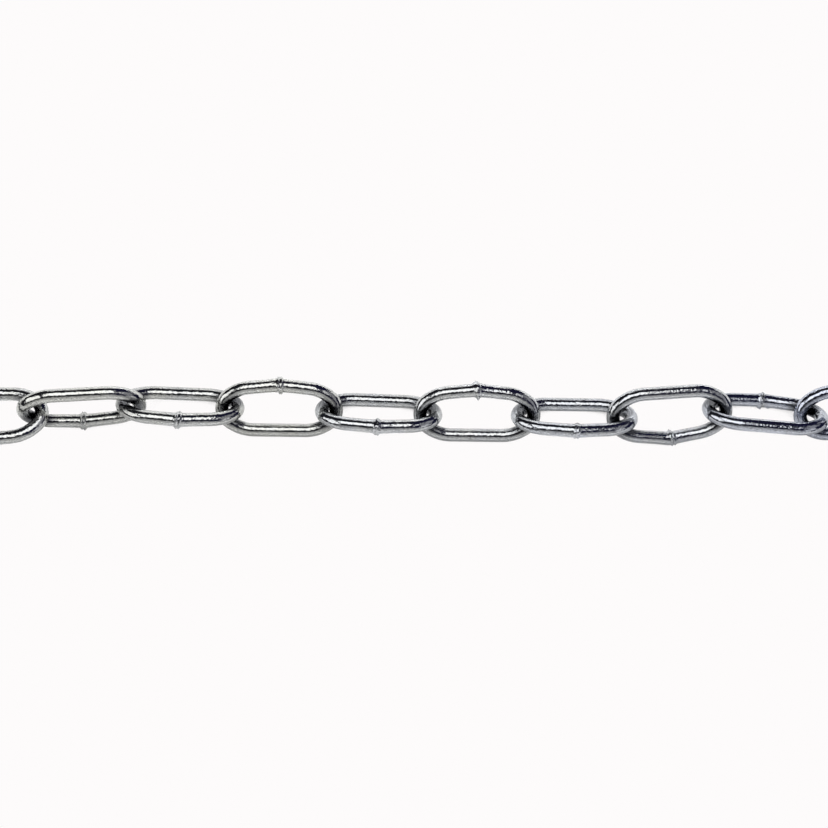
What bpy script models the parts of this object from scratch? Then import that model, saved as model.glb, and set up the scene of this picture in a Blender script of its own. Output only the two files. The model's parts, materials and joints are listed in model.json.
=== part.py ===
"""A straight length of plated steel chain, laid on a level floor along X.

The chain has 29 long links. Each is bent from round wire and closed by a butt weld at the middle of
one side. Every link passes through the link before it and turns about that link's end wire. Most
links lean about 40 degrees one way and the other in turn. Two near the middle stand almost upright,
with a flat one between them, and the twist runs out over the links beside them.
"""

from math import atan, cos, degrees, pi, radians, sin, sqrt, tau
from typing import NamedTuple

import bpy
from mathutils import Matrix, Vector

# Driving dimensions, in metres
MM = 0.001
WIRE = 4.5 * MM             # diameter of the round wire
INSIDE_LENGTH = 34.0 * MM   # inside length of a link, the pitch of the chain when it is taut
OUTSIDE_WIDTH = 20.0 * MM   # across both sides of a link
END_REACH = 10.7 * MM       # how far the curve of an end reaches along the link
WELD_BOW = 0.9 * MM         # how far the welded side stands out at its middle
BEAD_THICKNESS = 1.25       # thickness of the weld bead, in wire diameters
BEAD_HALF_LENGTH = 1.0 * MM
BEAD_SHOULDER = 0.7 * MM    # length over which the bead runs out into the wire

# The chain
LINK_COUNT = 29
LAID_STEP = 33.3 * MM       # from link to link, a little less than taut
LEAN = 40.0                 # degrees from level, one way and the other in turn
SWAY = 1.5 * MM             # how far the chain wanders off a straight line
SWAY_STEP = 0.6             # radians of that wave from link to link

# The search for the hinge on an end wire
END_SEARCH = radians(60)    # from the tip of the link, each way
HALVINGS = 30

# Facets
WIRE_SIDES = 10
END_POINTS = 9              # points along the curve of one end
SIDE_ROUND = sqrt(tau / (WIRE_SIDES * sin(tau / WIRE_SIDES)))   # keeps the area of the round wire
END_STEP = pi / (END_POINTS - 1)
END_ROUND = 2 / (1 + cos(END_STEP / 2))     # sets the chords half outside and half inside the curve


class Lie(NamedTuple):
    """How a link lies, in millimetres and degrees. The far side of a link is the one at +Y."""

    step: float         # from the middle of the link before, along X
    across: float       # of its middle, along Y
    heading: float      # turn about the vertical
    rise: float         # of the right end over the left one
    lean: float         # of the far side over the near one
    weld: int           # 1 for a weld on the far side, -1 for one on the near side
    lift: float = 0.0   # off the floor, for a link that rides on its neighbours


# The links whose lie is known one by one, from left to right
FIRST_KNOWN = 6
KNOWN = [
    Lie(32.7, -5.6, 0.0, 0.0, -40.0, 1),
    Lie(33.1, -6.4, -1.2, 0.0, 45.0, -1, 0.1),
    Lie(33.3, -7.1, -1.0, 0.0, -29.0, 1, 1.9),
    Lie(33.1, -6.7, 2.4, 1.6, 70.6, 1),
    Lie(32.3, -5.7, 4.9, 2.0, -5.8, 1, 6.2),
    Lie(32.4, -2.3, 4.1, -2.4, 75.0, -1, 0.1),
    Lie(32.5, -1.2, -1.0, -4.0, -40.3, -1, 1.1),
    Lie(33.1, -1.7, -0.8, 0.0, 40.5, 1),
    Lie(33.5, -3.0, -2.1, 0.0, -40.0, -1),
    Lie(33.2, -3.4, -0.7, 0.0, 40.0, 1),
    Lie(32.9, -4.4, -0.9, 0.0, -40.0, -1),
    Lie(32.2, -3.6, 4.0, 0.0, 40.0, -1),
    Lie(32.6, -3.6, -5.0, 0.0, -40.0, 1),
    Lie(31.3, -2.0, 5.2, 0.0, 40.0, 1),
    Lie(33.1, -0.2, 1.5, 0.0, -40.0, -1),
]

# The plating
PLATING_COLOUR = (0.63, 0.64, 0.65, 1.0)
PLATING_ROUGHNESS = 0.22


def clear_scene():
    """Remove every object that the scene starts with."""
    for thing in list(bpy.data.objects):
        bpy.data.objects.remove(thing)


def plating():
    """The bright zinc on the steel."""
    material = bpy.data.materials.new("zinc_plated_steel")
    material.use_nodes = True
    shader = material.node_tree.nodes["Principled BSDF"]
    shader.inputs["Base Color"].default_value = PLATING_COLOUR
    shader.inputs["Metallic"].default_value = 1.0
    shader.inputs["Roughness"].default_value = PLATING_ROUGHNESS
    return material


def half_straight():
    """From the middle of a link to where the curve of its end begins."""
    return (INSIDE_LENGTH + WIRE) / 2 - END_REACH


def half_spacing():
    """From the middle of a link to the middle of the wire of one side."""
    return (OUTSIDE_WIDTH - WIRE) / 2


def end_point(turn, reach=END_REACH):
    """A point on the curve of the right end, at an angle from the tip of the link."""
    return Vector((half_straight() + reach * cos(turn), half_spacing() * sin(turn), 0))


def end_curve(toward):
    """Half an oval around one end: toward is 1 for the right end and -1 for the left one."""
    points = []
    for i in range(END_POINTS):
        spot = end_point(END_STEP * i - pi / 2, END_REACH * END_ROUND) * toward
        points.append((spot.x, spot.y, 1.0))
    return points


def welded_side():
    """Points along the welded side from right to left, through the bead at its middle."""
    shoulder = BEAD_HALF_LENGTH + BEAD_SHOULDER
    stations = [
        (shoulder, 1.0),
        (BEAD_HALF_LENGTH, BEAD_THICKNESS),
        (-BEAD_HALF_LENGTH, BEAD_THICKNESS),
        (-shoulder, 1.0),
    ]
    points = []
    for along, thickness in stations:
        bow = WELD_BOW * (1 - abs(along) / half_straight())
        points.append((along, half_spacing() + bow, thickness))
    return points


def link_curve(material):
    """The closed wire of one link, flat in X and Y, with its weld at +Y."""
    curve = bpy.data.curves.new("link_wire", "CURVE")
    curve.dimensions = "3D"
    curve.twist_mode = "Z_UP"
    curve.bevel_depth = WIRE / 2 * SIDE_ROUND
    curve.bevel_resolution = (WIRE_SIDES - 4) // 2
    points = end_curve(1) + welded_side() + end_curve(-1)
    spline = curve.splines.new("POLY")
    spline.points.add(len(points) - 1)
    spline.use_cyclic_u = True
    spline.use_smooth = True
    # The wire is turned so that a link that leans and is welded on top lies on a facet.
    turn = tau / WIRE_SIDES - radians(LEAN)
    for point, (along, across, thickness) in zip(spline.points, points):
        point.co = (along, across, 0, 1)
        point.radius = thickness
        point.tilt = turn
    curve.materials.append(material)
    return curve


def lie_of(number):
    """How the link of this number lies: as known, or by the rule for the rest of the chain."""
    index = number - FIRST_KNOWN
    if 0 <= index < len(KNOWN):
        return KNOWN[index]
    nearest = KNOWN[0] if index < 0 else KNOWN[-1]
    beyond = index if index < 0 else index - len(KNOWN) + 1
    wave = SWAY_STEP * abs(beyond)
    across = nearest.across + SWAY / MM * sin(wave)
    slope = SWAY * SWAY_STEP * cos(wave) / LAID_STEP
    heading = degrees(atan(slope)) * (1 if beyond > 0 else -1)
    way = 1 if number % 2 else -1
    return Lie(LAID_STEP / MM, across, heading, 0.0, way * LEAN, way)


def link_turn(lie):
    """The rotation of a link: X along it, Y towards its weld."""
    heading = radians(lie.heading)
    rise = radians(lie.rise)
    lean = radians(lie.lean)
    along = Vector((cos(heading) * cos(rise), sin(heading) * cos(rise), sin(rise)))
    level = Vector((-sin(heading), cos(heading), 0))
    far = level * cos(lean) + along.cross(level) * sin(lean)
    weld = far * lie.weld
    return Matrix((along, weld, along.cross(weld))).transposed().to_4x4()


def place_links(vertices):
    """The place of each link, with the whole chain centred over the origin and on the floor."""
    places = []
    corners = []
    along = 0.0
    for number in range(1, LINK_COUNT + 1):
        lie = lie_of(number)
        along += lie.step * MM
        turn = link_turn(lie)
        turned = [turn @ vertex for vertex in vertices]
        height = lie.lift * MM - min(vertex.z for vertex in turned)
        spot = Vector((along, lie.across * MM, height))
        places.append(Matrix.Translation(spot) @ turn)
        corners += [vertex + spot for vertex in turned]
    middle_x = (min(c.x for c in corners) + max(c.x for c in corners)) / 2
    middle_y = (min(c.y for c in corners) + max(c.y for c in corners)) / 2
    shift = Matrix.Translation((-middle_x, -middle_y, 0))
    return [shift @ place for place in places]


def pivot_place(carrier_place, carried_place):
    """The place of a hinge: on the carrier's end wire, in the plane of the link that it carries.

    Its Z is the axis. A link turns in its own plane about the wire that runs through it.
    """
    into_plane = carried_place.inverted() @ carrier_place
    near = -END_SEARCH
    far = END_SEARCH
    rising = (into_plane @ end_point(far)).z > (into_plane @ end_point(near)).z
    for _ in range(HALVINGS):
        middle = (near + far) / 2
        above = (into_plane @ end_point(middle)).z > 0
        if above == rising:
            far = middle
        else:
            near = middle
    spot = carrier_place @ end_point(middle)
    return Matrix.Translation(spot) @ carried_place.to_quaternion().to_matrix().to_4x4()


def surface_points(thing):
    """The corners of an object's finished surface."""
    evaluated = thing.evaluated_get(bpy.context.evaluated_depsgraph_get())
    mesh = evaluated.to_mesh()
    points = [vertex.co.copy() for vertex in mesh.vertices]
    evaluated.to_mesh_clear()
    return points


def hang_on(thing, place, parent, parent_place):
    """Put an object at a place in the world, below a parent that has its own place."""
    thing.parent = parent
    thing.matrix_basis = parent_place.inverted() @ place


def main():
    """Build the chain, with an empty at each end wire that carries the links after it."""
    clear_scene()
    chain = bpy.data.collections.new("steel_chain")
    bpy.context.scene.collection.children.link(chain)

    curve = link_curve(plating())
    links = []
    for number in range(1, LINK_COUNT + 1):
        link = bpy.data.objects.new(f"link_{number:02d}", curve)
        chain.objects.link(link)
        links.append(link)

    places = place_links(surface_points(links[0]))
    links[0].matrix_basis = places[0]
    for i in range(1, LINK_COUNT):
        pivot = bpy.data.objects.new(f"pivot_{i + 1:02d}", None)
        pivot.empty_display_size = WIRE
        chain.objects.link(pivot)
        place = pivot_place(places[i - 1], places[i])
        hang_on(pivot, place, links[i - 1], places[i - 1])
        hang_on(links[i], places[i], pivot, place)


main()
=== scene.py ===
"""The looks of a length of bright zinc plated steel chain, laid on white paper under soft lamps.

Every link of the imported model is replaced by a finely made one: round drawn wire, bent into a long
loop and closed by a flash butt weld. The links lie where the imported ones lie.
"""

import json
import logging
from dataclasses import dataclass, field
from enum import Enum
from math import atan2, cos, exp, pi, radians, sin, tau
from typing import Any

import bmesh
import bpy
import numpy as np
from bmesh.types import BMEdge, BMesh, BMVert
from mathutils import Matrix, Vector, noise

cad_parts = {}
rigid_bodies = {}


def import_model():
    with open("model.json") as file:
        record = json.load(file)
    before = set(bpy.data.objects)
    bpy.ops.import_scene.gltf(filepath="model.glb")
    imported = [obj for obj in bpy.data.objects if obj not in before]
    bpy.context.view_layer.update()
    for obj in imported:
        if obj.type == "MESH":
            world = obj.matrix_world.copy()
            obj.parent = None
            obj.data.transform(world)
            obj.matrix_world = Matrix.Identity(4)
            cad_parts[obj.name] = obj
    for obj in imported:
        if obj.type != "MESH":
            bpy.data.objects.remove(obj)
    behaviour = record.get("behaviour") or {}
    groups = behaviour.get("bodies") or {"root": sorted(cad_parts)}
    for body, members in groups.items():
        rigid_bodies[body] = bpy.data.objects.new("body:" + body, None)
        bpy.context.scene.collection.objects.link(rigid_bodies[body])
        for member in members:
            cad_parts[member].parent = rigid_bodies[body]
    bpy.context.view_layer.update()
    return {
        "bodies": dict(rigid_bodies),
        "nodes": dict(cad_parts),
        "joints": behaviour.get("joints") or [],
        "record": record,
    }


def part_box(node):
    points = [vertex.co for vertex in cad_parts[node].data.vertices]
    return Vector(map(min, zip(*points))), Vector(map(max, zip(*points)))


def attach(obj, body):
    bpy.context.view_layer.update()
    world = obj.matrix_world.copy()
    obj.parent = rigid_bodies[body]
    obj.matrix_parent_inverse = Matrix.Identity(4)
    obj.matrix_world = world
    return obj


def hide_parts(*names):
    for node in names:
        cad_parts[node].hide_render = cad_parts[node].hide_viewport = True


LOG = logging.getLogger("chain")

MM = 0.001

# The camera looks at a point beside this link
AIM_NODE = "link_15"

# Points of a packed link that lie this near its middle, along the link, are those of its weld
# bead, and those of its straight sides
BEAD_REACH = 2.5 * MM
STRAIGHT_REACH = 9.0 * MM

# Each link's patterns are taken from another stretch of wire, this many metres on
PATTERN_STEP = 0.37

# The noise that shapes the welds: the step from one weld to the next, how fast it changes for the
# crease, the rolls and the spatter, and what brings it from about 0.45 either way to 1
WELD_STEP = 3.7
CREASE_PACE = 1.4
ROLL_PACE = 1.9
SPATTER_PACE = 2.2
FULL_NOISE = 2.2


def linear(hex_colour: str) -> tuple[float, float, float, float]:
    """Turn an sRGB hex colour into linear light.

    Args:
        hex_colour: the colour as #RRGGBB.

    Returns:
        Red, green, blue and an alpha of 1.
    """
    parts = [int(hex_colour[i : i + 2], 16) / 255 for i in (1, 3, 5)]
    light = [c / 12.92 if c <= 0.04045 else ((c + 0.055) / 1.055) ** 2.4 for c in parts]
    return (light[0], light[1], light[2], 1.0)


def add_node(
    tree: bpy.types.NodeTree,
    kind: str,
    settings: dict[str, Any] | None = None,
    values: dict[str | int, Any] | None = None,
    links: dict[str | int, bpy.types.NodeSocket] | None = None,
) -> bpy.types.Node:
    """Add one node with its settings, socket values and incoming links.

    Args:
        tree: the node tree that the node goes into.
        kind: Blender's name of the node's type.
        settings: properties of the node itself.
        values: values of its input sockets, by name or index.
        links: output sockets of other nodes, by the name or index of the input they feed.

    Returns:
        The new node.
    """
    made = tree.nodes.new(kind)
    for name, value in (settings or {}).items():
        setattr(made, name, value)
    for name, value in (values or {}).items():
        made.inputs[name].default_value = value
    for name, socket in (links or {}).items():
        tree.links.new(socket, made.inputs[name])
    return made


class WeldForm(Enum):
    """How the metal that the weld presses out of the wire came to stand."""

    ROLLS = "two rolls with a crease between them"
    LOBE = "one broad lobe"
    ROUGH = "two low rolls between rough zinc"


@dataclass(frozen=True)
class Lump:
    """A bead of metal that stands out of a weld, in metres and degrees.

    Attributes:
        along: from the crease, to the right as the link lies.
        around: from the top of the wire, over to the far side.
        height: over the wire.
        size: radius of the bead.
    """

    along: float
    around: float
    height: float
    size: float

    def raise_at(self, along: float, around: float, radius: float) -> float:
        """How far the bead lifts a point of a wire of this radius."""
        turn = (around - radians(self.around) + pi) % tau - pi
        far = ((along - self.along) ** 2 + (turn * radius) ** 2) / self.size**2
        return self.height * exp(-far)


@dataclass(frozen=True)
class Weld:
    """The flash butt weld that closes a link, in metres and radians.

    Attributes:
        form: how the pressed out metal stands.
        centre: of the weld, to the right of the middle of its side.
        roll: mean height of the rolls over the wire.
        uneven: how much that height changes around the wire, as a share of it.
        reach: from the crease to the foot of a roll.
        slant: how far the crease runs to the right on the far side, and to the left on the near.
        bow: how far each half of the side is turned outwards, towards the weld.
        dull: how far the zinc beside the weld is burnt dull, from 0 to 1.
        lumps: beads that stand out of it.
        seed: what makes this weld differ from the others.
        wander: how far the crease leaves its course, at most.
        roll_share: half the thickness of a roll, as a share of the reach.
        lobe_share: the same of a lobe.
        swell: how much thicker the hot wire was pressed at the weld.
        swell_reach: where half of that is left.
        grit: height of the spatter beside the weld, in millimetres.
        burnt_grit: how much higher it is where the zinc is burnt.
        grit_reach: how far from the weld there is any.
    """

    form: WeldForm = WeldForm.ROLLS
    centre: float = 0.0
    roll: float = 0.3 * MM
    uneven: float = 0.6
    reach: float = 0.9 * MM
    slant: float = 0.15 * MM
    bow: float = radians(6.0)
    dull: float = 0.5
    lumps: tuple[Lump, ...] = ()
    seed: int = 0
    wander: float = 0.25 * MM
    roll_share: float = 0.34
    lobe_share: float = 0.75
    swell: float = 0.16 * MM
    swell_reach: float = 1.5 * MM
    grit: float = 0.04
    burnt_grit: float = 0.09
    grit_reach: float = 3.2 * MM

    def height(self, along: float, around: float, radius: float) -> float:
        """How far the surface stands off the plain wire near the weld.

        Args:
            along: distance along the wire from the middle of its side, to the right.
            around: angle around the wire, from its top over to the far side.
            radius: of the plain wire.

        Returns:
            The height over the wire, in metres.
        """
        seat = Vector((cos(around), sin(around), self.seed * WELD_STEP))
        bend = self.wander * noise.noise(seat * CREASE_PACE)
        crease = self.centre + self.slant * sin(around) + bend
        off = (along - crease) / self.reach
        # How high each of the two rolls stands here, as a share of the mean height
        shares = []
        for place in (Vector((0, 3, 1)), Vector((7, 3, 1))):
            change = self.uneven * FULL_NOISE * noise.noise(seat * ROLL_PACE + place)
            shares.append(max(0.1, 1 + change))
        if self.form is WeldForm.LOBE:
            stand = shares[0] * exp(-((off / self.lobe_share) ** 2))
        else:
            left = exp(-(((off + 0.5) / self.roll_share) ** 2))
            right = exp(-(((off - 0.5) / self.roll_share) ** 2))
            stand = shares[0] * left + shares[1] * right
        swell = self.swell / (1 + (along / self.swell_reach) ** 2)
        beads = sum(lump.raise_at(along - crease, around, radius) for lump in self.lumps)
        # Grains of spatter about half a millimetre across
        grain = Vector((along / MM * SPATTER_PACE, cos(around) * 3, sin(around) * 3 + self.seed))
        close = max(0.0, 1 - abs(along - self.centre) / self.grit_reach)
        coarse = close * (self.grit + self.burnt_grit * self.dull) * MM
        return self.roll * stand + swell + beads + coarse * noise.noise(grain)


@dataclass(frozen=True)
class Run:
    """One stretch of a wire's middle line, straight or bent to an even curve.

    Attributes:
        length: along the middle line, in metres.
        turn: how far the wire bends over it, in radians, towards the inside of the link.
        steps: how many rings of points it is made with.
    """

    length: float
    turn: float = 0.0
    steps: int = 1

    def step(self) -> Matrix:
        """The move from one ring to the next, in the ring's own frame."""
        if not self.turn:
            return Matrix.Translation((self.length / self.steps, 0, 0))
        centre = Matrix.Translation((0, self.length / self.turn, 0))
        return centre @ Matrix.Rotation(self.turn / self.steps, 4, "Z") @ centre.inverted()


@dataclass(frozen=True)
class BrightZinc:
    """Drawn low carbon steel wire with bright electroplated zinc.

    The plating is close to a mirror, so the eye gets the studio in it as stripes along the wire:
    the lamp as a white band, the dark room as black lines and the white paper as grey edges. The
    drawing die leaves fine lines along the wire and the plating a fine grain, which break those
    stripes up, and small pores in it are darker. The clear passivate over the zinc is a trace
    yellow on one link and blue on the next. Near the weld the zinc is burnt dull. In the joints,
    where the other link's wire is near, the zinc is painted darker as painted shade.

    Attributes:
        yellow_zinc: the zinc under the yellowest passivate.
        blue_zinc: the zinc under the bluest passivate.
        burnt_zinc: the zinc beside the weld.
        joint_shade: the zinc at its darkest, in the painted shade of a joint.
        pore: a pore at its darkest.
        roughness: of the plain plating.
        burnt_roughness: of the zinc beside the weld.
        joint_shade_roughness: of the zinc in that painted shade.
        grain_mm: size of the plating's grain.
        grain_stretch: width of a grain as a share of its length.
        grain_height_mm: height of the grain.
        pore_mm: from pore to pore.
        die_line_mm: from line to line of the drawing die.
        die_line_stretch: width of such a line as a share of its length.
        die_line_height_mm: height of such a line.
        patch_mm: size of the patches of passivate.
        spot_mm: size of the burnt spots.
    """

    yellow_zinc: str = "#D0D0CB"
    blue_zinc: str = "#C3C8D7"
    burnt_zinc: str = "#C3C5C8"
    joint_shade: str = "#58595C"
    pore: str = "#77797C"
    roughness: float = 0.07
    burnt_roughness: float = 0.22
    joint_shade_roughness: float = 0.14
    grain_mm: float = 0.6
    grain_stretch: float = 0.7
    grain_height_mm: float = 0.075
    pore_mm: float = 0.5
    die_line_mm: float = 0.22
    die_line_stretch: float = 0.03
    die_line_height_mm: float = 0.02
    patch_mm: float = 9.0
    spot_mm: float = 0.7

    def material(self) -> bpy.types.Material:
        """Build the material.

        Returns:
            The material, which reads the attributes "wire", "weld", "passivate" and "joint".
        """
        material = bpy.data.materials.new("bright_zinc_plated_steel")
        material.use_nodes = True
        tree = material.node_tree
        shader = tree.nodes["Principled BSDF"]
        shader.inputs["Metallic"].default_value = 1.0

        wire = add_node(tree, "ShaderNodeAttribute", {"attribute_name": "wire"})
        weld = add_node(tree, "ShaderNodeAttribute", {"attribute_name": "weld"})

        # The tint of the passivate, with patches of it a few millimetres across
        passivate = add_node(tree, "ShaderNodeAttribute", {"attribute_name": "passivate"})
        patch = add_node(
            tree,
            "ShaderNodeTexNoise",
            values={"Scale": 1 / (self.patch_mm * MM), "Detail": 3.0, "Roughness": 0.6},
            links={"Vector": wire.outputs["Vector"]},
        )
        uneven = add_node(
            tree,
            "ShaderNodeMapRange",
            values={"From Min": 0.3, "From Max": 0.7, "To Min": -0.16, "To Max": 0.16},
            links={"Value": patch.outputs["Fac"]},
        )
        blue = add_node(
            tree,
            "ShaderNodeMath",
            {"operation": "ADD", "use_clamp": True},
            {},
            {0: passivate.outputs["Fac"], 1: uneven.outputs["Result"]},
        )
        tint = add_node(
            tree,
            "ShaderNodeMix",
            {"data_type": "RGBA"},
            {6: linear(self.yellow_zinc), 7: linear(self.blue_zinc)},
            {0: blue.outputs[0]},
        )
        # Burnt zinc beside the weld, whole where the weld is near and in spots further out
        spots = add_node(
            tree,
            "ShaderNodeTexNoise",
            values={"Scale": 1 / (self.spot_mm * MM), "Detail": 4.0, "Roughness": 0.65},
            links={"Vector": wire.outputs["Vector"]},
        )
        reach = add_node(
            tree,
            "ShaderNodeMath",
            {"operation": "ADD"},
            {},
            {0: spots.outputs["Fac"], 1: weld.outputs["Fac"]},
        )
        burnt = add_node(
            tree,
            "ShaderNodeMapRange",
            {"interpolation_type": "SMOOTHSTEP"},
            {"From Min": 1.1, "From Max": 1.5},
            {"Value": reach.outputs[0]},
        )

        # The grain of the plating, somewhat drawn out along the wire
        stretch = add_node(
            tree,
            "ShaderNodeMapping",
            values={"Scale": (self.grain_stretch, 1.0, 1.0)},
            links={"Vector": wire.outputs["Vector"]},
        )
        grain = add_node(
            tree,
            "ShaderNodeTexNoise",
            values={"Scale": 1 / (self.grain_mm * MM), "Detail": 1.5, "Roughness": 0.5},
            links={"Vector": stretch.outputs["Vector"]},
        )
        # Lines of the drawing die, long and thin
        drawn = add_node(
            tree,
            "ShaderNodeMapping",
            values={"Scale": (self.die_line_stretch, 1.0, 1.0)},
            links={"Vector": wire.outputs["Vector"]},
        )
        lines = add_node(
            tree,
            "ShaderNodeTexNoise",
            values={"Scale": 1 / (self.die_line_mm * MM), "Detail": 2.0, "Roughness": 0.5},
            links={"Vector": drawn.outputs["Vector"]},
        )
        # The tops of the grain are duller than its valleys
        sheen = add_node(
            tree,
            "ShaderNodeMapRange",
            values={"To Min": self.roughness * 0.7, "To Max": self.roughness * 1.5},
            links={"Value": grain.outputs["Fac"]},
        )
        # Painted shade in the joints, where the other link's wire is near, in streaks along the wire
        joint = add_node(tree, "ShaderNodeAttribute", {"attribute_name": "joint"})
        streaked = add_node(
            tree,
            "ShaderNodeMath",
            {"operation": "ADD"},
            {},
            {0: joint.outputs["Fac"], 1: lines.outputs["Fac"]},
        )
        painted_joint_shade = add_node(
            tree,
            "ShaderNodeMapRange",
            {"interpolation_type": "SMOOTHSTEP"},
            {"From Min": 0.58, "From Max": 1.25},
            {"Value": streaked.outputs[0]},
        )
        # Pores in the plating, where the noise is highest
        pores = add_node(
            tree,
            "ShaderNodeTexNoise",
            values={"Scale": 1 / (self.pore_mm * MM), "Detail": 1.0, "Roughness": 0.5},
            links={"Vector": wire.outputs["Vector"]},
        )
        pitted = add_node(
            tree,
            "ShaderNodeMapRange",
            {"interpolation_type": "SMOOTHSTEP"},
            {"From Min": 0.48, "From Max": 0.72, "To Max": 0.45},
            {"Value": pores.outputs["Fac"]},
        )
        # Burnt zinc, the painted shade of the joints and pores one over the other on the tinted zinc
        colour = tint.outputs[2]
        for over, share in ((self.burnt_zinc, burnt), (self.joint_shade, painted_joint_shade), (self.pore, pitted)):
            colour = add_node(
                tree,
                "ShaderNodeMix",
                {"data_type": "RGBA"},
                {7: linear(over)},
                {0: share.outputs["Result"], 6: colour},
            ).outputs[2]
        tree.links.new(colour, shader.inputs["Base Color"])
        roughness = sheen.outputs["Result"]
        for over, share in ((self.burnt_roughness, burnt), (self.joint_shade_roughness, painted_joint_shade)):
            roughness = add_node(
                tree,
                "ShaderNodeMix",
                {"data_type": "FLOAT"},
                {3: over},
                {0: share.outputs["Result"], 2: roughness},
            ).outputs[0]
        tree.links.new(roughness, shader.inputs["Roughness"])

        # The die lines and the grain stand out a little
        fine = add_node(
            tree,
            "ShaderNodeBump",
            values={"Strength": 0.5, "Distance": self.die_line_height_mm * MM},
            links={"Height": lines.outputs["Fac"]},
        )
        bump = add_node(
            tree,
            "ShaderNodeBump",
            values={"Strength": 1.0, "Distance": self.grain_height_mm * MM},
            links={"Height": grain.outputs["Fac"], "Normal": fine.outputs["Normal"]},
        )
        tree.links.new(bump.outputs["Normal"], shader.inputs["Normal"])
        return material


@dataclass
class WireLink:
    """One link: a loop of round wire, bent twice and welded at the middle of one side.

    Attributes:
        node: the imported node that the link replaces, which is also the body that it rides on.
        weld: the weld that closes it.
        passivate: tint of its passivate, from 0 for yellow to 1 for blue.
        wire: diameter of the wire.
        length: outside length of the link.
        width: outside width of the link.
        tip_turn: how far the wire bends around the former at each end.
        tip_radius: radius of that bend, at the middle of the wire.
        sides: points around the wire.
        peak_length: length of the bend at the middle of the weld.
        near_length: length of the straight wire beside it that is finely made.
        weld_reach: how far from the middle of its side the weld changes the wire.
        burnt_reach: how far from there the zinc is burnt.
        joint_reach: how far from the other wire a joint ends.
        rings: the rings of points that the wire is drawn with, each with the frame at its middle
            and its distance along the wire.
    """

    node: str
    weld: Weld
    passivate: float = 0.5
    wire: float = 4.5 * MM
    length: float = 43.0 * MM
    width: float = 20.0 * MM
    tip_turn: float = radians(100.0)
    tip_radius: float = 6.06 * MM
    sides: int = 40
    peak_length: float = 1.6 * MM
    near_length: float = 2.4 * MM
    weld_reach: float = 4.0 * MM
    burnt_reach: float = 3.5 * MM
    joint_reach: float = 5.2 * MM
    rings: list[tuple[list[BMVert], Matrix, float]] = field(default_factory=list)

    def half_width(self) -> float:
        """From the middle of the link to the middle of the wire of the plain side."""
        return (self.width - self.wire) / 2

    def shoulder_radius(self) -> float:
        """Radius of the easier bend between an end and a side."""
        half = self.tip_turn / 2
        return (self.half_width() - self.tip_radius * sin(half)) / (1 - sin(half))

    def half_plain(self) -> float:
        """Half the length of the plain side's straight stretch."""
        half = self.tip_turn / 2
        reach = self.tip_radius * (1 - cos(half)) + self.shoulder_radius() * cos(half)
        return (self.length - self.wire) / 2 - reach

    def runs(self) -> list[Run]:
        """The stretches of the wire, from the weld round the link and back to it."""
        # The rings are closest at the weld and at the tips
        bow = self.weld.bow
        shoulder = pi / 2 - self.tip_turn / 2
        eased = self.shoulder_radius() * (shoulder - bow)
        peak = Run(self.peak_length, bow, 16)
        end_x = self.half_plain() + self.shoulder_radius() * sin(bow)
        slope = (end_x - peak.length / bow * sin(bow)) / cos(bow)
        near = Run(self.near_length, 0.0, 12)
        rest = Run(slope - near.length, 0.0, 5)
        ease = Run(eased, shoulder - bow, 8)
        tip = Run(self.tip_radius * self.tip_turn, self.tip_turn, 22)
        full = Run(self.shoulder_radius() * shoulder, shoulder, 9)
        plain = Run(2 * self.half_plain(), 0.0, 10)
        there = [peak, near, rest, ease, tip, full]
        return [*there, plain, *reversed(there)]

    def weld_y(self) -> float:
        """How far the middle of the weld lies from the middle of the link."""
        frame = Matrix.Identity(4)
        for run in self.runs()[:6]:
            for _ in range(run.steps):
                frame = frame @ run.step()
        return frame.translation.y - self.half_width()

    def middle_line(self, seat: Matrix) -> np.ndarray:
        """Points along the middle of the wire, all round the link.

        Args:
            seat: the place of the link's middle.

        Returns:
            One row of world coordinates for each point.
        """
        frame = seat @ Matrix.Translation((0, self.weld_y(), 0)) @ Matrix.Rotation(pi, 4, "Z")
        points = []
        for run in self.runs():
            for _ in range(run.steps):
                frame = frame @ run.step()
                points.append(tuple(frame.translation))
        return np.array(points)

    def sweep(self, bm: BMesh) -> None:
        """Draw the wire round the loop by extruding a ring of points step by step.

        Args:
            bm: the mesh that the wire is made in.
        """
        along_layer = bm.verts.layers.float.new("along")
        around_layer = bm.verts.layers.float.new("around")
        frame = Matrix.Translation((0, self.weld_y(), 0)) @ Matrix.Rotation(pi, 4, "Z")
        upright = frame @ Matrix.Rotation(pi / 2, 4, "Y")
        made = bmesh.ops.create_circle(
            bm, cap_ends=False, segments=self.sides, radius=self.wire / 2, matrix=upright
        )
        ring = made["verts"]
        into = frame.inverted()
        for vert in ring:
            spot = into @ vert.co
            vert[around_layer] = atan2(spot.z, spot.y) % tau
        edges = list({edge for vert in ring for edge in vert.link_edges})
        along = 0.0
        self.rings.append((ring, frame, along))
        for run in self.runs():
            step = run.step()
            for _ in range(run.steps):
                grown = bmesh.ops.extrude_edge_only(bm, edges=edges)["geom"]
                ring = [part for part in grown if isinstance(part, BMVert)]
                onward = frame @ step
                bmesh.ops.transform(bm, matrix=onward @ frame.inverted(), verts=ring)
                fresh = set(ring)
                drawn = [part for part in grown if isinstance(part, BMEdge)]
                edges = [edge for edge in drawn if fresh.issuperset(edge.verts)]
                frame = onward
                along += run.length / run.steps
                for vert in ring:
                    vert[along_layer] = along
                self.rings.append((ring, frame, along))

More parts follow.
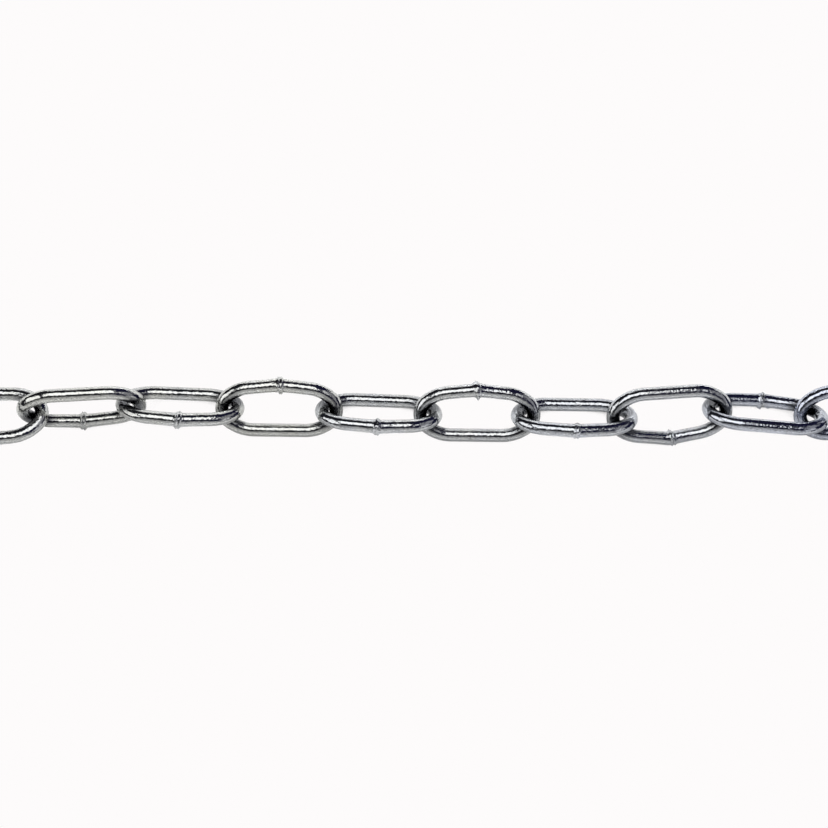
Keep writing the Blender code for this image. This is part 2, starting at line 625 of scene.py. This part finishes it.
    def shape_weld(self, bm: BMesh, seat: Matrix) -> None:
        """Raise the metal of the weld and the thickened wire beside it.

        Args:
            bm: the mesh that holds the wire.
            seat: the place of the link's middle.
        """
        around_layer = bm.verts.layers.float["around"]
        total = self.rings[-1][2]
        into = (seat @ self.rings[0][1]).to_3x3().inverted()
        top = into @ Vector((0, 0, 1))
        far = into @ Vector((0, 1, 0))
        start = atan2(top.z, top.y)
        sense = 1 if top.y * far.z - top.z * far.y > 0 else -1
        for ring, frame, along in self.rings:
            to_left = along if along < total / 2 else along - total
            if abs(to_left) > self.weld_reach:
                continue
            for vert in ring:
                out = (vert.co - frame.translation).normalized()
                around = sense * (vert[around_layer] - start)
                vert.co += out * self.weld.height(-to_left, around, self.wire / 2)

    def in_joint(self, bm: BMesh, seat: Matrix, beside: list[np.ndarray]) -> np.ndarray:
        """How deep each point lies in a joint with another link.

        Args:
            bm: the mesh that holds the wire.
            seat: the place of the link's middle.
            beside: the middle lines of the links that pass through this one.

        Returns:
            For each point 1 where it touches the other wire, down to 0 where it is clear of it.
        """
        bm.verts.index_update()
        spots = np.array([tuple(seat @ vert.co) for vert in bm.verts])
        lines = np.concatenate(beside)
        away = np.full(len(spots), 1.0)
        for point in lines:
            away = np.minimum(away, np.linalg.norm(spots - point, axis=1))
        return np.clip(1 - (away - self.wire / 2) / self.joint_reach, 0, 1)

    def mark(self, bm: BMesh, joint: np.ndarray) -> None:
        """Store on each face corner what the material reads.

        These are its place on the drawn wire, its nearness to the weld, its tint and how deep it
        lies in a joint.

        Args:
            bm: the mesh that holds the wire.
            joint: for each point, how deep it lies in a joint.
        """
        along_layer = bm.verts.layers.float["along"]
        around_layer = bm.verts.layers.float["around"]
        wire_layer = bm.loops.layers.float_vector.new("wire")
        weld_layer = bm.loops.layers.float.new("weld")
        passivate_layer = bm.loops.layers.float.new("passivate")
        joint_layer = bm.loops.layers.float.new("joint")
        total = self.rings[-1][2]
        offset = self.weld.seed * PATTERN_STEP
        for face in bm.faces:
            for corner in face.loops:
                along = corner.vert[along_layer]
                around = corner.vert[around_layer]
                spot = (along + offset, cos(around) * self.wire / 2, sin(around) * self.wire / 2)
                corner[wire_layer] = spot
                # The cleanest weld is burnt half as much as the dullest
                near = min(along, total - along) / self.burnt_reach
                corner[weld_layer] = max(0.0, 1 - near) * (0.5 + 0.5 * self.weld.dull)
                corner[passivate_layer] = self.passivate
                # How deep it lies in a joint, which the material turns into painted shade
                corner[joint_layer] = joint[corner.vert.index]

    def build(
        self, seat: Matrix, finish: bpy.types.Material, beside: list[np.ndarray]
    ) -> bpy.types.Object:
        """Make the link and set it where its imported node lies.

        Args:
            seat: the place of the link's middle, with X along it and Y towards its weld.
            finish: the material of the wire.
            beside: the middle lines of the links that pass through this one.

        Returns:
            The finished piece.
        """
        bm = bmesh.new()
        self.sweep(bm)
        self.shape_weld(bm, seat)
        self.mark(bm, self.in_joint(bm, seat, beside))
        bmesh.ops.remove_doubles(bm, verts=bm.verts, dist=0.01 * MM)
        bmesh.ops.transform(bm, matrix=seat, verts=bm.verts)
        bmesh.ops.recalc_face_normals(bm, faces=bm.faces)
        for face in bm.faces:
            face.smooth = True
        mesh = bpy.data.meshes.new(f"{self.node}_wire")
        bm.to_mesh(mesh)
        bm.free()
        mesh.materials.append(finish)
        piece = bpy.data.objects.new(f"{self.node}_wire", mesh)
        bpy.context.scene.collection.objects.link(piece)
        return piece


def seat_of(node: bpy.types.Object, half_width: float) -> Matrix:
    """Read from a packed link how it lies.

    Its points spread most along the link, and next most across its width. The plain side is the
    one whose wire has points only at its two ends.

    Args:
        node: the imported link.
        half_width: from the middle of a link to the middle of its plain side's wire.

    Returns:
        The place of the link's middle, with X along it and Y towards its weld.
    """
    points = np.unique(np.round([tuple(v.co) for v in node.data.vertices], 7), axis=0)
    middle = points.mean(axis=0)
    along, across = np.linalg.svd(points - middle, full_matrices=False)[2][:2]
    if along[0] < 0:
        along = -along
    x = (points - middle) @ along
    y = (points - middle) @ across
    crowded = np.abs(x) < BEAD_REACH
    if y[crowded].mean() < 0:
        across = -across
        y = -y
    straight = (np.abs(x) < STRAIGHT_REACH) & (y < 0)
    plain = y[straight].mean()
    centre = middle + across * (plain + half_width)
    up = np.cross(along, across)
    return Matrix.Translation(centre) @ Matrix((along, across, up)).transposed().to_4x4()


@dataclass
class Chain:
    """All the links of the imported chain.

    Attributes:
        finish: the plating of the links.
        tints: of the passivate, for the links that the photograph shows.
        seen: the welds that the photograph shows.
    """

    finish: BrightZinc = field(default_factory=BrightZinc)
    tints: dict[str, float] = field(
        default_factory=lambda: {
            "link_10": 0.2,
            "link_11": 0.04,
            "link_12": 0.12,
            "link_13": 0.05,
            "link_14": 0.3,
            "link_15": 0.28,
            "link_16": 0.48,
            "link_17": 0.38,
            "link_18": 0.68,
            "link_19": 0.9,
        }
    )
    seen: dict[str, Weld] = field(
        default_factory=lambda: {
            "link_11": Weld(
                centre=-0.37 * MM,
                roll=0.42 * MM,
                uneven=0.3,
                reach=1.1 * MM,
                lumps=(
                    Lump(-0.1 * MM, 84.0, 0.5 * MM, 0.8 * MM),
                    Lump(0.3 * MM, -102.0, 0.45 * MM, 0.75 * MM),
                ),
                seed=11,
            ),
            "link_12": Weld(
                centre=-0.2 * MM,
                roll=0.34 * MM,
                uneven=0.3,
                reach=1.0 * MM,
                lumps=(
                    Lump(-0.5 * MM, -20.0, 0.2 * MM, 0.9 * MM),
                    Lump(0.3 * MM, 86.0, 0.4 * MM, 0.7 * MM),
                    Lump(0.0, -102.0, 0.45 * MM, 0.7 * MM),
                ),
                seed=12,
            ),
            "link_13": Weld(
                centre=0.37 * MM,
                uneven=0.3,
                reach=1.0 * MM,
                slant=-0.3 * MM,
                lumps=(
                    Lump(-0.6 * MM, -38.0, 0.25 * MM, 1.0 * MM),
                    Lump(0.2 * MM, 86.0, 0.45 * MM, 0.7 * MM),
                    Lump(0.1 * MM, -102.0, 0.5 * MM, 0.65 * MM),
                ),
                seed=13,
            ),
            "link_14": Weld(
                centre=-0.26 * MM,
                lumps=(
                    Lump(0.0, 82.0, 0.65 * MM, 0.45 * MM),
                    Lump(0.1 * MM, -15.0, 0.25 * MM, 0.8 * MM),
                    Lump(0.1 * MM, -98.0, 0.45 * MM, 0.7 * MM),
                ),
                seed=14,
            ),
            "link_15": Weld(
                WeldForm.LOBE,
                centre=-0.1 * MM,
                roll=0.4 * MM,
                uneven=0.3,
                reach=1.2 * MM,
                slant=-0.3 * MM,
                lumps=(
                    Lump(-0.4 * MM, 86.0, 0.5 * MM, 0.9 * MM),
                    Lump(0.0, -100.0, 0.6 * MM, 0.6 * MM),
                ),
                seed=15,
            ),
            "link_16": Weld(
                centre=0.1 * MM,
                roll=0.22 * MM,
                lumps=(
                    Lump(0.0, 84.0, 0.3 * MM, 0.7 * MM),
                    Lump(0.1 * MM, -20.0, 0.25 * MM, 0.8 * MM),
                ),
                seed=16,
            ),
            "link_17": Weld(
                centre=0.75 * MM,
                slant=-0.45 * MM,
                bow=radians(8.0),
                dull=0.7,
                lumps=(
                    Lump(-0.2 * MM, 80.0, 0.5 * MM, 0.45 * MM),
                    Lump(-0.2 * MM, -20.0, 0.3 * MM, 0.5 * MM),
                    Lump(0.6 * MM, -45.0, 0.3 * MM, 0.5 * MM),
                ),
                seed=17,
            ),
            "link_18": Weld(
                WeldForm.ROUGH,
                centre=-0.75 * MM,
                roll=0.36 * MM,
                slant=0.4 * MM,
                dull=1.0,
                lumps=(
                    Lump(0.1 * MM, 82.0, 0.35 * MM, 0.7 * MM),
                    Lump(0.0, -100.0, 0.45 * MM, 0.6 * MM),
                    Lump(3.3 * MM, -104.0, 0.35 * MM, 0.5 * MM),
                ),
                seed=18,
            ),
        }
    )

    def weld_of(self, number: int) -> Weld:
        """A weld for a link that the photograph doesn't show well, different from link to link."""
        form = list(WeldForm)[number * 7 % 3]
        # Beads that come round the wire by a different step each, from link to link
        lumps = (
            Lump(0.4 * MM, (number * 97) % 360, 0.4 * MM, 0.6 * MM),
            Lump(-0.3 * MM, (number * 61 + 90) % 360, 0.35 * MM, 0.7 * MM),
            Lump(0.0, (number * 43 + 200) % 360, 0.45 * MM, 0.5 * MM),
        )
        centre = (number * 5 % 7 - 3) * 0.15 * MM
        return Weld(form, centre=centre, lumps=lumps, seed=number)

    def build(self, nodes: dict[str, bpy.types.Object]) -> None:
        """Make every link and put it in its node's place.

        Args:
            nodes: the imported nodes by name.
        """
        finish = self.finish.material()
        links = []
        for number, name in enumerate(sorted(nodes), 1):
            weld = self.seen.get(name, self.weld_of(number))
            # The other links are tinted in eight steps from 0.1 to 0.45
            tint = self.tints.get(name, 0.1 + 0.4 * (number * 5 % 8) / 8)
            links.append(WireLink(name, weld, tint))
        seats = [seat_of(nodes[link.node], link.half_width()) for link in links]
        lines = [link.middle_line(seat) for link, seat in zip(links, seats)]
        for i, link in enumerate(links):
            beside = lines[max(0, i - 1) : i] + lines[i + 1 : i + 2]
            piece = link.build(seats[i], finish, beside)
            name = link.node
            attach(piece, name)
            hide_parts(name)
            LOG.info("%s: %d faces, %s", piece.name, len(piece.data.polygons), link.weld.form.value)


@dataclass(frozen=True)
class Softbox:
    """A soft lamp that faces the chain.

    Attributes:
        name: of the lamp.
        from_zenith: angle of its middle from straight up, in degrees.
        bearing: direction of its middle, in degrees from +X round to +Y.
        roll: how far its face is turned about its middle, in degrees.
        distance: from the chain to its middle.
        width: of its face, level where the face isn't turned.
        depth: of its face, the other way.
        radiance: brightness of its face, where the picture's white is 1.
        reflected: whether the zinc mirrors it. A lamp that it doesn't mirror lights the paper.
    """

    name: str
    from_zenith: float
    bearing: float
    roll: float
    distance: float
    width: float
    depth: float
    radiance: float
    reflected: bool = True

    def hang(self, over: Vector) -> None:
        """Hang the lamp.

        Args:
            over: the point that it faces.
        """
        light = bpy.data.lights.new(self.name, "AREA")
        light.shape = "RECTANGLE"
        light.size = self.width
        light.size_y = self.depth
        light.energy = self.radiance * pi * self.width * self.depth
        lamp = bpy.data.objects.new(self.name, light)
        bearing = Matrix.Rotation(radians(self.bearing) + pi / 2, 4, "Z")
        tilt = Matrix.Rotation(radians(self.from_zenith), 4, "X")
        back = Matrix.Translation((0, 0, self.distance))
        turn = Matrix.Rotation(radians(self.roll), 4, "Z")
        lamp.matrix_world = Matrix.Translation(over) @ bearing @ tilt @ back @ turn
        lamp.visible_glossy = self.reflected
        bpy.context.scene.collection.objects.link(lamp)


@dataclass
class Studio:
    """White paper on a table under soft lamps in a dark room, and the camera.

    Attributes:
        paper: colour of the paper, as the lamps and the zinc get it.
        cut_out: the even white that the camera gets in place of the paper, as in a photograph
            whose background was cut out.
        dark: the room, far from any lamp.
        blue_dark: the same to the right of the camera, where it is bluer.
        near_light: its wall behind the camera, low down.
        near_from: where that wall's light begins, as how far a direction points at the viewer.
        blue_to: where the room is bluest, as how far a direction points to the right.
        softboxes: the lamps.
        aim: what the camera looks at, from the middle of AIM_NODE.
        elevation: of the camera over the table, in degrees.
        swing: of the camera round the chain to the left, in degrees.
        level: how far the camera is turned about its view to bring the chain level again.
        distance: from the camera to the chain.
        frame_width: what the picture's width covers at the chain.
        table_reach: from the middle of the table to its edges.
        table_shift: how far its middle is to the right of the chain's, so that no edge of its
            triangles crosses the view.
        hollow: how near the links have to be to shade the white between them.
    """

    paper: str = "#BEBEBE"
    cut_out: str = "#FDFBFB"
    dark: str = "#25262B"
    blue_dark: str = "#1D1E37"
    near_light: str = "#D2D2D2"
    near_from: float = 0.58
    blue_to: float = 0.38
    softboxes: tuple[Softbox, ...] = (
        Softbox("overhead_lamp", 7.2, 157.4, -67.4, 1.3, 1.02, 0.87, 1.68),
        Softbox("left_lamp", 52.6, 188.7, 0.0, 1.8, 1.35, 1.13, 1.45),
        Softbox("right_strip", 28.0, -8.0, 0.0, 1.3, 0.7, 0.2, 0.9),
        Softbox("right_glow", 50.0, 0.0, 0.0, 2.2, 2.0, 1.0, 0.3),
        Softbox("far_lamp", 78.0, 92.0, 0.0, 2.0, 1.25, 0.8, 0.85),
        Softbox("far_right_lamp", 78.0, 38.0, 0.0, 2.0, 0.6, 0.6, 0.7),
        Softbox("near_right_lamp", 70.0, -35.0, 0.0, 2.0, 1.0, 0.8, 0.65),
        Softbox("far_table_lamp", 72.0, 85.0, 0.0, 0.7, 0.5, 0.3, 42.0, reflected=False),
        Softbox("near_table_lamp", 72.0, -90.0, 0.0, 0.7, 0.5, 0.3, 13.0, reflected=False),
    )
    aim: tuple[float, float, float] = (-21.3 * MM, -0.7 * MM, 0.0)
    elevation: float = 72.6
    swing: float = 5.4
    level: float = 5.2
    distance: float = 0.6
    frame_width: float = 279.1 * MM
    table_reach: float = 15.0
    table_shift: float = 4.0
    hollow: float = 11.0 * MM

    def table(self) -> None:
        """Lay the paper at the height that the chain lies on."""
        bm = bmesh.new()
        aside = Matrix.Translation((self.table_shift, 0, 0))
        bmesh.ops.create_grid(bm, x_segments=1, y_segments=1, size=self.table_reach, matrix=aside)
        mesh = bpy.data.meshes.new("table_top")
        bm.to_mesh(mesh)
        bm.free()
        material = bpy.data.materials.new("matt_white_paper")
        material.use_nodes = True
        tree = material.node_tree
        shader = tree.nodes["Principled BSDF"]
        shader.inputs["Base Color"].default_value = linear(self.paper)
        shader.inputs["Roughness"].default_value = 0.9
        shader.inputs["Specular IOR Level"].default_value = 0.1
        # Uncoated paper scatters the lamps' light evenly and has no gloss, so the zinc mirrors it
        # as plain grey. The camera sees through it to the plain white, with painted shade in the
        # small
        # hollows between two links: those less than a tenth open are nearly black, and those more
        # than a third open are white. From below it is clear, so links that swing down past the
        # table are lit and seen as well.
        closed_in = add_node(
            tree, "ShaderNodeAmbientOcclusion", {"samples": 8}, {"Distance": self.hollow}
        )
        open_share = add_node(
            tree,
            "ShaderNodeMapRange",
            {"interpolation_type": "SMOOTHSTEP"},
            {"From Min": 0.1, "From Max": 0.34, "To Min": 0.05, "To Max": 1.0},
            {"Value": closed_in.outputs["AO"]},
        )
        clear = add_node(
            tree, "ShaderNodeBsdfTransparent", links={"Color": open_share.outputs["Result"]}
        )
        ray = add_node(tree, "ShaderNodeLightPath")
        side = add_node(tree, "ShaderNodeNewGeometry")
        passes = add_node(
            tree,
            "ShaderNodeMath",
            {"operation": "MAXIMUM"},
            {},
            {0: ray.outputs["Is Camera Ray"], 1: side.outputs["Backfacing"]},
        )
        both = add_node(
            tree,
            "ShaderNodeMixShader",
            links={0: passes.outputs[0], 1: shader.outputs[0], 2: clear.outputs[0]},
        )
        tree.links.new(both.outputs[0], tree.nodes["Material Output"].inputs["Surface"])
        mesh.materials.append(material)
        top = bpy.data.objects.new("table_top", mesh)
        bpy.context.scene.collection.objects.link(top)

    def room(self) -> None:
        """Make the room: dark, bluer to the right, and light on the wall behind the camera.

        The camera itself gets the plain white in place of it.
        """
        world = bpy.data.worlds.new("dark_room")
        world.use_nodes = True
        tree = world.node_tree
        spot = add_node(tree, "ShaderNodeTexCoord")
        split = add_node(tree, "ShaderNodeSeparateXYZ", links={0: spot.outputs["Generated"]})
        near = add_node(
            tree,
            "ShaderNodeMapRange",
            {"interpolation_type": "SMOOTHSTEP"},
            {"From Min": -self.near_from, "From Max": -1.0},
            {"Value": split.outputs["Y"]},
        )
        right = add_node(
            tree,
            "ShaderNodeMapRange",
            {"interpolation_type": "SMOOTHSTEP"},
            {"From Min": 0.0, "From Max": self.blue_to},
            {"Value": split.outputs["X"]},
        )
        gloom = add_node(
            tree,
            "ShaderNodeMix",
            {"data_type": "RGBA"},
            {6: linear(self.dark), 7: linear(self.blue_dark)},
            {0: right.outputs["Result"]},
        )
        shade = add_node(
            tree,
            "ShaderNodeMix",
            {"data_type": "RGBA"},
            {7: linear(self.near_light)},
            {0: near.outputs["Result"], 6: gloom.outputs[2]},
        )
        ray = add_node(tree, "ShaderNodeLightPath")
        seen = add_node(
            tree,
            "ShaderNodeMix",
            {"data_type": "RGBA"},
            {7: linear(self.cut_out)},
            {0: ray.outputs["Is Camera Ray"], 6: shade.outputs[2]},
        )
        tree.links.new(seen.outputs[2], tree.nodes["Background"].inputs["Color"])
        bpy.context.scene.world = world

    def camera(self) -> Vector:
        """Set the camera at the photograph's viewing angle.

        Returns:
            The point that the camera looks at.
        """
        low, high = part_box(AIM_NODE)
        aim = (low + high) / 2 + Vector(self.aim)
        lens = bpy.data.cameras.new("camera")
        lens.lens = lens.sensor_width * self.distance / self.frame_width
        camera = bpy.data.objects.new("camera", lens)
        swing = Matrix.Rotation(-radians(self.swing), 4, "Z")
        tilt = Matrix.Rotation(radians(90 - self.elevation), 4, "X")
        back = Matrix.Translation((0, 0, self.distance))
        level = Matrix.Rotation(radians(self.level), 4, "Z")
        camera.matrix_world = Matrix.Translation(aim) @ swing @ tilt @ back @ level
        bpy.context.scene.collection.objects.link(camera)
        bpy.context.scene.camera = camera
        return aim

    def build(self) -> None:
        """Set up the table, the room, the lamps and the camera."""
        bpy.context.scene.view_settings.view_transform = "Standard"
        aim = self.camera()
        self.table()
        self.room()
        for softbox in self.softboxes:
            softbox.hang(aim)


def main() -> None:
    """Build the chain and the studio."""
    logging.basicConfig(level=logging.INFO, format="%(message)s")
    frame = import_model()
    Chain().build(frame["nodes"])
    Studio().build()


if __name__ == "__main__":
    main()
